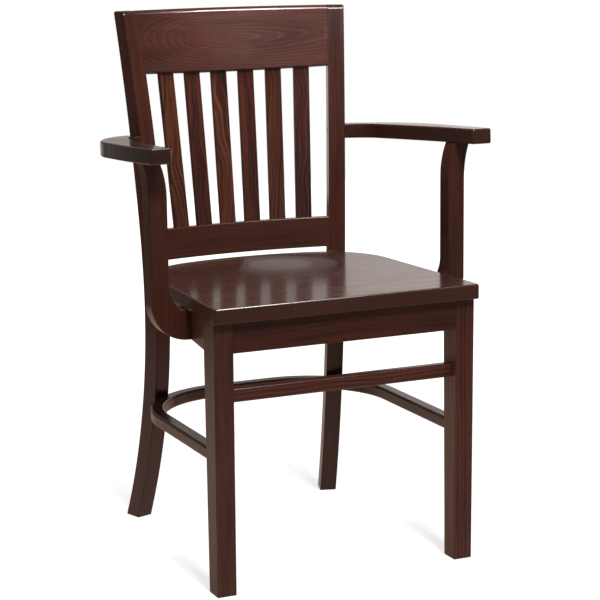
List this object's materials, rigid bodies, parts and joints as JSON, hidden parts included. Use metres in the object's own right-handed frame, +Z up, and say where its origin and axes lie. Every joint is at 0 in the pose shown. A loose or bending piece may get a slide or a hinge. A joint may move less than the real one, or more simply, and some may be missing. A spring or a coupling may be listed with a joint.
{
  "type": "armchair",
  "caption": "Dark wooden pub armchair with a flat shaped seat, a fanned slatted back, flat arms on curved supports and a bent hoop stretcher.",
  "frame": {"origin": "on the floor, in the middle of the chair's overall width and depth", "axes": "+Z up, +Y from the seat's front edge to its back, +X to the right as seen from the front"},
  "size_m": [0.5874, 0.5034, 0.8781],
  "materials": {
    "seat_wood": "satin lacquer over dark stain",
    "frame_wood": "satin lacquer over dark stain",
    "back_wood": "satin lacquer over dark stain",
    "slat_wood": "satin lacquer over dark stain",
    "arm_wood": "satin lacquer over dark stain",
    "stretcher_wood": "satin lacquer over dark stain",
    "block_wood": "stained, unpolished",
    "dowel_wood": "bare beech",
    "screw_steel": "zinc plated"
  },
  "bodies": {
    "root": {"seat_panel": "seat_wood", "front_seat_rail": "frame_wood", "rear_seat_rail": "frame_wood", "crest_rail": "back_wood", "lower_back_rail": "back_wood", "front_stretcher": "stretcher_wood", "hoop_stretcher": "stretcher_wood", "front_leg_left": "frame_wood", "rear_leg_left": "frame_wood", "side_seat_rail_left": "frame_wood", "armrest_left": "arm_wood", "arm_support_left": "arm_wood", "front_corner_block_left": "block_wood", "rear_corner_block_left": "block_wood", "front_leg_right": "frame_wood", "rear_leg_right": "frame_wood", "side_seat_rail_right": "frame_wood", "armrest_right": "arm_wood", "arm_support_right": "arm_wood", "front_corner_block_right": "block_wood", "rear_corner_block_right": "block_wood", "back_slat_1": "slat_wood", "back_slat_2": "slat_wood", "back_slat_3": "slat_wood", "back_slat_4": "slat_wood", "back_slat_5": "slat_wood", "back_slat_6": "slat_wood", "seat_rail_dowels": "dowel_wood", "back_rail_dowels": "dowel_wood", "stretcher_dowels": "dowel_wood", "armrest_dowels": "dowel_wood", "armrest_plugs": "arm_wood", "armrest_screws": "screw_steel", "arm_support_screws": "screw_steel", "corner_block_screws": "screw_steel", "seat_screws": "screw_steel", "hoop_screws": "screw_steel"}
  },
  "joints": []
}
